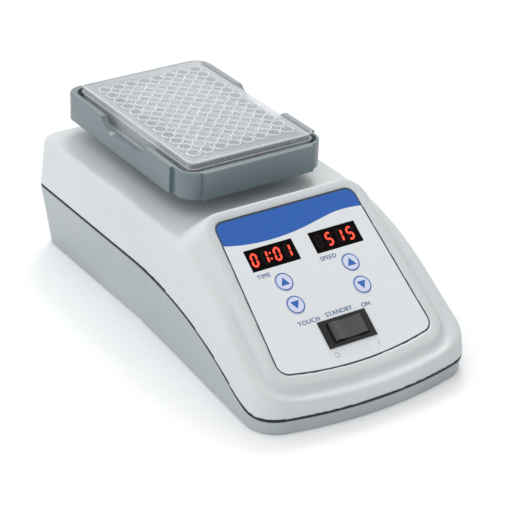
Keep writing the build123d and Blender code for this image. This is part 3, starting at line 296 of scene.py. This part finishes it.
# Painted light: the lid's paler edge
clear_edge_painted_light = clear("clear_edge_painted_light", CLEAR_EDGE_PAINTED_LIGHT, 0.10, 0.32, 0.80)

for row in frame["record"]["subparts"]:
    holder = nodes[row["node"]]
    holder.data.materials.clear()
    holder.data.materials.append(materials[row["material_slot"]])
nodes["rocker"].data.materials[0] = rocker_plastic


# Outlines in millimetres
def ring(radius, steps=64, start=0.0, turn=2 * pi):
    """Points round a circle or an arc."""
    count = steps if turn == 2 * pi else steps + 1
    angles = [start + turn * index / steps for index in range(count)]
    return [(radius * cos(angle), radius * sin(angle)) for angle in angles]


def moved(points, u, v):
    """The same outline at another place."""
    return [(a + u, b + v) for a, b in points]


def bar(u_low, v_low, u_high, v_high):
    """Corners of an upright rectangle."""
    return [(u_low, v_low), (u_high, v_low), (u_high, v_high), (u_low, v_high)]


def rounded_outline(half, corner, inset=0.0, steps=8):
    """Points round a rectangle with rounded corners, drawn in by a margin."""
    half_x, half_y = half[0] - inset, half[1] - inset
    radius = corner - inset
    points = []
    for quarter, (sx, sy) in enumerate(((1, 1), (-1, 1), (-1, -1), (1, -1))):
        for step in range(steps + 1):
            angle = (quarter + step / steps) * pi / 2
            u = sx * (half_x - radius) + radius * cos(angle)
            v = sy * (half_y - radius) + radius * sin(angle)
            points.append((u, v))
    return points


def square_point(angle, half):
    """Where a ray from the centre of a square meets its side."""
    reach = half / max(abs(cos(angle)), abs(sin(angle)))
    return reach * cos(angle), reach * sin(angle)


# Microplate: outlines in millimetres, heights in metres
PLATE_CENTRE = Vector((0.0, 59.0)) * MM
PLATE_FOOT = 88.7 * MM
PLATE_TOP = 103.05 * MM
PLATE_HALF = (42.74, 63.88)
PLATE_CORNER = 3.2
PLATE_INSET = 2.14
PLATE_SHOULDER = 0.5
PLATE_WALL = 0.8
FLANGE_HEIGHT = 2.5 * MM
WELL_PITCH = 9.0
WELL_COLUMNS, WELL_ROWS = 8, 12
WELL_STEPS = 24
WELL_DEPTH = 10.7 * MM
LIP_RISE = 0.5 * MM
LIP_OUTER, LIP_CREST_OUTER, LIP_CREST_INNER, WELL_MOUTH, WELL_FOOT = 4.15, 3.95, 3.60, 3.43, 3.20
WELL_PAINTED_LIGHT_MATERIAL, LIP_HIGHLIGHT_MATERIAL = 1, 2


def shell_ring(bm, outline, height):
    """Vertices of one outline at one height, round the plate's centre."""
    return [bm.verts.new((u * MM + PLATE_CENTRE.x, v * MM + PLATE_CENTRE.y, height)) for u, v in outline]


def skin_rings(bm, rings):
    """Faces between rings that have the same number of vertices."""
    for low, high in zip(rings, rings[1:]):
        for index in range(len(low)):
            after = (index + 1) % len(low)
            bm.faces.new((low[index], low[after], high[after], high[index]))


def ring_edges(bm, outline_ring):
    """Edges of one ring of vertices."""
    return [bm.edges.get(ends) for ends in zip(outline_ring[-1:] + outline_ring[:-1], outline_ring)]


def finished_shell(name, bm, node, slot, *shell_materials):
    """Object from a closed shell, riding on its body in place of a CAD node."""
    bmesh.ops.remove_doubles(bm, verts=bm.verts, dist=WELD)
    bmesh.ops.recalc_face_normals(bm, faces=bm.faces)
    mesh = bpy.data.meshes.new(name)
    bm.to_mesh(mesh)
    bm.free()
    for face in mesh.polygons:
        face.use_smooth = True
    piece = bpy.data.objects.new(name, mesh)
    scene.collection.objects.link(piece)
    for material in shell_materials:
        mesh.materials.append(material)
    edges = piece.modifiers.new("edges", "EDGE_SPLIT")
    edges.split_angle = SHARP_ANGLE
    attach(piece, node)
    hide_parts(node)


def well_block(bm, height, profile):
    """Twelve rows of eight wells from square cells at one height; returns the block's outer edges."""
    before = set(bm.edges)
    for column in range(WELL_COLUMNS):
        for row in range(WELL_ROWS):
            u = (column - (WELL_COLUMNS - 1) / 2) * WELL_PITCH
            v = (row - (WELL_ROWS - 1) / 2) * WELL_PITCH
            angles = [2 * pi * step / WELL_STEPS for step in range(WELL_STEPS)]
            square = moved([square_point(angle, WELL_PITCH / 2) for angle in angles], u, v)
            rings = [shell_ring(bm, square, height)]
            for radius, level in profile:
                rings.append(shell_ring(bm, moved(ring(radius, WELL_STEPS), u, v), level))
            skin_rings(bm, rings)
            bm.faces.new(rings[-1])
    block_verts = {vert for edge in bm.edges if edge not in before for vert in edge.verts}
    bmesh.ops.remove_doubles(bm, verts=list(block_verts), dist=WELD)
    open_edges = [edge for edge in bm.edges if len(edge.link_faces) == 1]
    return [edge for edge in open_edges if abs(edge.verts[0].co.z - height) < NEAR]


def plate_shell():
    """Microplate with flange, deck and 96 round wells, each with a raised lip."""
    bm = bmesh.new()
    deck = PLATE_TOP - LIP_RISE
    under_deck = deck - PLATE_WALL * MM
    well_foot = PLATE_TOP - WELL_DEPTH
    step_height = PLATE_FOOT + FLANGE_HEIGHT
    upper_half = (PLATE_HALF[0] - PLATE_INSET, PLATE_HALF[1] - PLATE_INSET)
    skin = [
        (upper_half, PLATE_SHOULDER, deck),
        (upper_half, 0.0, deck - PLATE_SHOULDER * MM),
        (upper_half, 0.0, step_height),
        (PLATE_HALF, 0.0, step_height),
        (PLATE_HALF, 0.0, PLATE_FOOT),
        (PLATE_HALF, PLATE_WALL, PLATE_FOOT),
        (PLATE_HALF, PLATE_WALL, step_height - PLATE_WALL * MM),
        (upper_half, PLATE_WALL, step_height - PLATE_WALL * MM),
        (upper_half, PLATE_WALL, under_deck),
    ]
    top_profile = [
        (LIP_OUTER, deck),
        (LIP_CREST_OUTER, PLATE_TOP),
        (LIP_CREST_INNER, PLATE_TOP),
        (WELL_MOUTH, deck),
        (WELL_FOOT, well_foot),
    ]
    under_profile = [
        (WELL_MOUTH + PLATE_WALL, under_deck),
        (WELL_FOOT + PLATE_WALL, well_foot - PLATE_WALL * MM),
    ]
    rings = []
    for half, inset, height in skin:
        rings.append(shell_ring(bm, rounded_outline(half, PLATE_CORNER, inset), height))
    skin_rings(bm, rings)
    top_rim, under_rim = ring_edges(bm, rings[0]), ring_edges(bm, rings[-1])
    skin_verts = set(bm.verts)
    for height, profile, rim in ((deck, top_profile, top_rim), (under_deck, under_profile, under_rim)):
        block = [edge for edge in well_block(bm, height, profile) if edge.verts[0] not in skin_verts]
        bmesh.ops.bridge_loops(bm, edges=block + rim)

    # The lips are paler than the deck, a painted highlight, and so are the wells inside the outermost rows,
    # painted light for the light their clear walls refract
    inner_half_x = (WELL_COLUMNS / 2 - 1) * WELL_PITCH * MM
    inner_half_y = (WELL_ROWS / 2 - 1) * WELL_PITCH * MM
    for face in bm.faces:
        middle = face.calc_center_median()
        levels = [vert.co.z for vert in face.verts]
        in_painted_light_block = abs(middle.x) < inner_half_x and abs(middle.y - PLATE_CENTRE.y) < inner_half_y
        if max(levels) > deck + NEAR:
            face.material_index = LIP_HIGHLIGHT_MATERIAL
        elif in_painted_light_block and min(levels) < under_deck - NEAR:
            face.material_index = WELL_PAINTED_LIGHT_MATERIAL
    finished_shell("microplate_clear", bm, "microplate", "plate", materials["plate"], clear_well_painted_light, clear_lip_painted_highlight)


plate_shell()

# Lid: outlines in millimetres, heights in metres
LID_HALF = (42.0, 63.14)
LID_CORNER = 5.0
LID_TOP = 104.25 * MM
LID_FOOT = 99.65 * MM
LID_WALL = 1.0
LID_SOFT = 0.8
LID_SOFT_STEPS = 3
EDGE_PAINTED_LIGHT_MATERIAL = 1


def lid_shell():
    """Shallow clear cover with a softened edge."""
    bm = bmesh.new()
    rings = []
    for step in range(LID_SOFT_STEPS + 1):
        angle = step / LID_SOFT_STEPS * pi / 2
        outline = rounded_outline(LID_HALF, LID_CORNER, LID_SOFT * (1 - sin(angle)))
        rings.append(shell_ring(bm, outline, LID_TOP - LID_SOFT * MM * (1 - cos(angle))))
    inner = rounded_outline(LID_HALF, LID_CORNER, LID_WALL)
    rings.append(shell_ring(bm, rounded_outline(LID_HALF, LID_CORNER), LID_FOOT))
    rings.append(shell_ring(bm, inner, LID_FOOT))
    rings.append(shell_ring(bm, inner, LID_TOP - LID_WALL * MM))
    skin_rings(bm, rings)
    bm.faces.new(rings[0])
    bm.faces.new(rings[-1])
    # The softened edge and the foot are paler: painted light along the lid's edge
    for face in bm.faces:
        middle = face.calc_center_median().z
        if LID_TOP - LID_SOFT * MM < middle < LID_TOP - NEAR or middle < LID_FOOT + NEAR:
            face.material_index = EDGE_PAINTED_LIGHT_MATERIAL
    finished_shell("microplate_lid_clear", bm, "microplate_lid", "lid", materials["lid"], clear_edge_painted_light)


lid_shell()

# Cover: its hollows and ridges are drawn softer, as moulded
SKIN_VOXEL = 0.8 * MM
SKIN_SHARE = 0.5
SKIN_ROUNDS = 12
skin = nodes["top_cover"].modifiers.new("skin", "REMESH")
skin.mode = "VOXEL"
skin.voxel_size = SKIN_VOXEL
skin.use_smooth_shade = True
softening = nodes["top_cover"].modifiers.new("softening", "SMOOTH")
softening.factor = SKIN_SHARE
softening.iterations = SKIN_ROUNDS

# Boot and isolation mounts: rubber that gives way as the tray is pressed down; each is copied into a piece
# with a mesh of its own, riding on the housing
for name in ("boot", "isolation_mounts"):
    node = nodes[name]
    soft = bpy.data.objects.new(name + "_rubber", node.data.copy())
    soft.matrix_world = node.matrix_world.copy()
    scene.collection.objects.link(soft)
    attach(soft, "housing")
    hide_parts(name)
    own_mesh(soft)


# Thin prints on the panel plane
def flat_piece(name, outlines, material, body, height=PRINT_HEIGHT):
    """Thin plates with the given outlines, drawn as (u, v) in millimetres on the panel."""
    mesh = bpy.data.meshes.new(name)
    bm = bmesh.new()
    for outline in outlines:
        base = [bm.verts.new((u * MM, v * MM, height)) for u, v in outline]
        face = bm.faces.new(base)
        top = bmesh.ops.extrude_face_region(bm, geom=[face])
        lifted = [item for item in top["geom"] if isinstance(item, bmesh.types.BMVert)]
        bmesh.ops.translate(bm, verts=lifted, vec=(0.0, 0.0, PRINT_THICKNESS))
    bmesh.ops.recalc_face_normals(bm, faces=bm.faces)
    bm.transform(PANEL_MATRIX)
    bm.to_mesh(mesh)
    bm.free()
    piece = bpy.data.objects.new(name, mesh)
    scene.collection.objects.link(piece)
    mesh.materials.append(material)
    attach(piece, body)


def band_between(outer, inner):
    """Strip between two lines with the same number of points, in quads."""
    strips = []
    for index in range(len(outer) - 1):
        strips.append([outer[index], outer[index + 1], inner[index + 1], inner[index]])
    return strips


# Painted shadow line round the label, wide enough to reach past the cover's softened edge
LABEL_EDGE_WIDTH = 1.20
LABEL_TOP_LEVEL = 0.1 * MM
LABEL_TOP_FACING = 0.99


def label_edge():
    """Strip just inside the overlay's own outline, taken from its top face."""
    bm = bmesh.new()
    bm.from_mesh(nodes["panel_overlay"].data)
    bm.transform(PANEL_MATRIX.inverted())
    bmesh.ops.remove_doubles(bm, verts=bm.verts, dist=NEAR)
    level_faces = [face for face in bm.faces if abs(face.calc_center_median().z) < LABEL_TOP_LEVEL]
    tops = {face for face in level_faces if face.normal.z > LABEL_TOP_FACING}
    rim = [edge for edge in bm.edges if sum(face in tops for face in edge.link_faces) == 1]
    start = max(rim, key=lambda edge: abs(edge.verts[0].co.y)).verts[0]
    loop, previous, here = [start], None, start
    while True:
        ways = [edge for edge in here.link_edges if edge in rim and edge is not previous]
        previous = ways[0]
        here = previous.other_vert(here)
        if here is start:
            break
        loop.append(here)
    outline = [Vector((vert.co.x, vert.co.y)) / MM for vert in loop]
    bm.free()
    middle = sum(outline, Vector((0.0, 0.0))) / len(outline)
    inner = []
    for index, point in enumerate(outline):
        along = (outline[(index + 1) % len(outline)] - outline[index - 1]).normalized()
        across = Vector((-along.y, along.x))
        if across.dot(middle - point) < 0:
            across = -across
        inner.append(point + across * LABEL_EDGE_WIDTH)
    return band_between(outline + outline[:1], inner + inner[:1])


flat_piece("label_edge", label_edge(), edge_shade, "housing")

# Words: text, place (u, v), size and spread of the letters, in millimetres
WORDS = {
    "word_time": ("TIME", -36.4, -18.0, 3.7, 1.12),
    "word_speed": ("SPEED", 5.3, -18.0, 3.7, 1.08),
    "word_touch": ("TOUCH", -26.6, -50.2, 3.7, 1.12),
    "word_standby": ("STANDBY", -8.3, -49.6, 3.7, 1.10),
    "word_on": ("ON", 15.2, -50.3, 3.6, 1.08),
}
WORD_WEIGHT = 0.22
STROKE_LIFT = PRINT_THICKNESS / 20


def word(name, text, u, v, size, spread):
    """One word printed on the panel from (u, v); two strokes side by side make it bold."""
    curve = bpy.data.curves.new(name, "FONT")
    curve.body = text
    curve.size = size * MM
    curve.space_character = spread
    curve.extrude = PRINT_THICKNESS / 2
    holder = bpy.data.objects.new(name + "_curve", curve)
    scene.collection.objects.link(holder)
    bpy.context.view_layer.update()
    mesh = bpy.data.meshes.new_from_object(holder.evaluated_get(bpy.context.evaluated_depsgraph_get()))
    bpy.data.objects.remove(holder)
    bm = bmesh.new()
    for way in (-1, 1):
        first = len(bm.verts)
        bm.from_mesh(mesh)
        bm.verts.ensure_lookup_table()
        stroke_shift = Vector((way * WORD_WEIGHT * MM / 2, 0.0, way * STROKE_LIFT))
        bmesh.ops.translate(bm, verts=bm.verts[first:], vec=stroke_shift)
    bm.to_mesh(mesh)
    bm.free()
    mesh.transform(PANEL_MATRIX @ Matrix.Translation((u * MM, v * MM, PRINT_HEIGHT + PRINT_THICKNESS / 2)))
    mesh.materials.clear()
    mesh.materials.append(word_blue)
    piece = bpy.data.objects.new(name, mesh)
    scene.collection.objects.link(piece)
    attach(piece, "housing")


for name, row in WORDS.items():
    word(name, *row)

# Seven-segment digits, sizes in millimetres
SEGMENTS = {"0": "abcdef", "1": "bc", "5": "afgcd", " ": ""}
DIGIT_WIDTH = 4.4
DIGIT_HEIGHT = 8.4
DIGIT_SLANT = 0.10
SEGMENT_WIDTH = 1.25
SEGMENT_GAP = 0.12
DISPLAY_MIDDLE = -6.55
DISPLAY_FOOT = DISPLAY_MIDDLE - DIGIT_HEIGHT / 2
COLON_RADIUS = 0.62
COLON_STEPS = 20
COLON_SHARES = (0.3, 0.7)


def segment_outlines(u, v):
    """The seven segments of a digit with its lower left corner on (u, v)."""
    half = SEGMENT_WIDTH / 2
    left, right = half, DIGIT_WIDTH - half
    low, middle, high = half, DIGIT_HEIGHT / 2, DIGIT_HEIGHT - half
    ends = {
        "a": ((left, high), (right, high)),
        "b": ((right, middle), (right, high)),
        "c": ((right, low), (right, middle)),
        "d": ((left, low), (right, low)),
        "e": ((left, low), (left, middle)),
        "f": ((left, middle), (left, high)),
        "g": ((left, middle), (right, middle)),
    }
    outlines = {}
    for key, (from_end, to_end) in ends.items():
        along = (Vector(to_end) - Vector(from_end)).normalized()
        across = Vector((-along.y, along.x)) * half
        start = Vector(from_end) + along * SEGMENT_GAP
        end = Vector(to_end) - along * SEGMENT_GAP
        points = [
            start, start + along * half - across, end - along * half - across,
            end, end - along * half + across, start + along * half + across,
        ]
        outlines[key] = [(u + p.x + DIGIT_SLANT * p.y, v + p.y) for p in points]
    return outlines


def display(name, places, text, colon_u=None):
    """Lit and dim segments of one display."""
    lit_outlines, dim_outlines = [], []
    for u, digit in zip(places, text):
        for key, outline in segment_outlines(u, DISPLAY_FOOT).items():
            (lit_outlines if key in SEGMENTS[digit] else dim_outlines).append(outline)
    if colon_u is not None:
        for share in COLON_SHARES:
            dot_u = colon_u + DIGIT_SLANT * DIGIT_HEIGHT * share
            dot_v = DISPLAY_FOOT + DIGIT_HEIGHT * share
            lit_outlines.append(moved(ring(COLON_RADIUS, COLON_STEPS), dot_u, dot_v))
    flat_piece(name + "_lit", lit_outlines, segment_lit, "housing")
    flat_piece(name + "_dim", dim_outlines, segment_dim, "housing")


display("time_digits", (-35.4, -28.6, -20.4, -13.6), "0101", -22.6)
display("speed_digits", (7.4, 14.2, 21.4, 28.4), " 515")

# Keys: a blue ring and an arrow that move with each; its place (u, v) and the way it points
KEYS = {
    "time_up_key": (-22.2, -23.2, 1), "time_down_key": (-22.2, -37.7, -1),
    "speed_up_key": (22.2, -23.2, 1), "speed_down_key": (22.2, -37.7, -1),
}
KEY_RING_OUTER = 5.2
KEY_RING_INNER = 4.65
KEY_PRINT_HEIGHT = 0.30 * MM + PRINT_HEIGHT
ARROW_HALF, ARROW_LOW, ARROW_TIP = 2.8, -2.1, 2.7
for key, (u, v, way) in KEYS.items():
    outer = moved(ring(KEY_RING_OUTER), u, v)
    inner = moved(ring(KEY_RING_INNER), u, v)
    strips = band_between(outer + outer[:1], inner + inner[:1])
    flat_piece(key + "_ring", strips, print_blue, key, KEY_PRINT_HEIGHT)
    arrow = [(-ARROW_HALF, ARROW_LOW * way), (ARROW_HALF, ARROW_LOW * way), (0.0, ARROW_TIP * way)]
    flat_piece(key + "_arrow", [moved(arrow, u, v)], print_blue, key, KEY_PRINT_HEIGHT)

# Standby sign and on sign under the rocker, in millimetres
STANDBY_PLACE = (-13.2, -71.6)
STANDBY_OUTER, STANDBY_INNER = 1.5, 1.2
STANDBY_BAR = (-0.15, 0.5, 0.15, 2.0)
STANDBY_ARC = {"steps": 40, "start": radians(125), "turn": radians(290)}
ON_BAR = (14.2, -73.6, 14.6, -70.4)
outer = moved(ring(STANDBY_OUTER, **STANDBY_ARC), *STANDBY_PLACE)
inner = moved(ring(STANDBY_INNER, **STANDBY_ARC), *STANDBY_PLACE)
standby = band_between(outer, inner) + [moved(bar(*STANDBY_BAR), *STANDBY_PLACE)]
flat_piece("sign_standby", standby, print_pale, "housing")
flat_piece("sign_on", [bar(*ON_BAR)], print_pale, "housing")

# Floor and backdrop, one sheet
FLOOR_REACH = 4.0
floor_mesh = bpy.data.meshes.new("floor")
bm = bmesh.new()
bmesh.ops.create_grid(bm, x_segments=1, y_segments=1, size=FLOOR_REACH)
bm.to_mesh(floor_mesh)
bm.free()
floor = bpy.data.objects.new("floor", floor_mesh)
scene.collection.objects.link(floor)

# Camera, its lens in millimetres
CAMERA_PLACE = Vector((-564.64, -829.35, 582.48)) * MM
AZIMUTH = radians(-33.48)
ELEVATION = radians(27.87)
ROLL = radians(1.66)
SENSOR_WIDTH = 36.0
FOCAL_LENGTH = 140.93
SHIFT_X, SHIFT_Y = 0.0568, -0.0519
back = Vector((sin(AZIMUTH) * cos(ELEVATION), -cos(AZIMUTH) * cos(ELEVATION), sin(ELEVATION)))
right = Vector((cos(AZIMUTH), sin(AZIMUTH), 0.0))
up = back.cross(right)
side = cos(ROLL) * right + sin(ROLL) * up
top = -sin(ROLL) * right + cos(ROLL) * up
camera_data = bpy.data.cameras.new("camera")
camera_data.sensor_width = SENSOR_WIDTH
camera_data.lens = FOCAL_LENGTH
camera_data.shift_x = SHIFT_X
camera_data.shift_y = SHIFT_Y
camera = bpy.data.objects.new("camera", camera_data)
camera.matrix_world = Matrix((side, top, back)).transposed().to_4x4()
camera.location = CAMERA_PLACE
scene.collection.objects.link(camera)
scene.camera = camera

# Lamp: a broad one, high behind on the right
LAMP_PLACE = Vector((0.60, 0.80, 1.20))
LAMP_AIM = Vector((0.0, 0.0, 0.05))
LAMP_SIZE = 0.5
LAMP_POWER = 6.0
lamp_data = bpy.data.lights.new("key_lamp", "AREA")
lamp_data.size = LAMP_SIZE
lamp_data.energy = LAMP_POWER
lamp = bpy.data.objects.new("key_lamp", lamp_data)
lamp.location = LAMP_PLACE
lamp.rotation_mode = "QUATERNION"
lamp.rotation_quaternion = (LAMP_AIM - LAMP_PLACE).to_track_quat("-Z", "Y")
scene.collection.objects.link(lamp)


def backdrop_rays(tree):
    """One for rays from the camera, off gloss and through clear parts, else nothing."""
    path = tree.nodes.new("ShaderNodeLightPath")
    seen = path.outputs["Is Camera Ray"]
    for kind in ("Is Glossy Ray", "Is Transmission Ray"):
        either = tree.nodes.new("ShaderNodeMath")
        either.operation = "MAXIMUM"
        tree.links.new(seen, either.inputs[0])
        tree.links.new(path.outputs[kind], either.inputs[1])
        seen = either.outputs[0]
    return seen


# World: a soft dome, brighter behind and at the left, plain white to the backdrop's rays
LIGHT_SIDE = Vector((-0.62, 0.30, 0.72)).normalized()
DOME_FROM, DOME_TO = -0.6, 0.7
DOME_LOW, DOME_HIGH = 0.10, 1.12
world = bpy.data.worlds.new("world")
scene.world = world
world.use_nodes = True
tree = world.node_tree
background = tree.nodes["Background"]
way = tree.nodes.new("ShaderNodeTexCoord")
toward = tree.nodes.new("ShaderNodeVectorMath")
toward.operation = "DOT_PRODUCT"
tree.links.new(way.outputs["Generated"], toward.inputs[0])
toward.inputs[1].default_value = LIGHT_SIDE
dome = tree.nodes.new("ShaderNodeMapRange")
dome.interpolation_type = "SMOOTHSTEP"
set_inputs(dome, From_Min=DOME_FROM, From_Max=DOME_TO, To_Min=DOME_LOW, To_Max=DOME_HIGH)
tree.links.new(toward.outputs["Value"], dome.inputs["Value"])
strength = tree.nodes.new("ShaderNodeMath")
strength.operation = "MAXIMUM"
tree.links.new(backdrop_rays(tree), strength.inputs[0])
tree.links.new(dome.outputs["Result"], strength.inputs[1])
tree.links.new(strength.outputs[0], background.inputs["Strength"])
set_inputs(background, Color=WHITE)

# Floor: white, keeps the soft shadow; its glow is for the backdrop's rays alone
FLOOR_GLOW = 0.10
floor_material, tree, shader = new_material("floor_white")
set_inputs(shader, Roughness=0.9, Base_Color=FLOOR_WHITE, Emission_Color=WHITE)
glow = tree.nodes.new("ShaderNodeMath")
glow.operation = "MULTIPLY"
tree.links.new(backdrop_rays(tree), glow.inputs[0])
glow.inputs[1].default_value = FLOOR_GLOW
tree.links.new(glow.outputs[0], shader.inputs["Emission Strength"])
floor_mesh.materials.append(floor_material)

scene.view_settings.view_transform = "Standard"
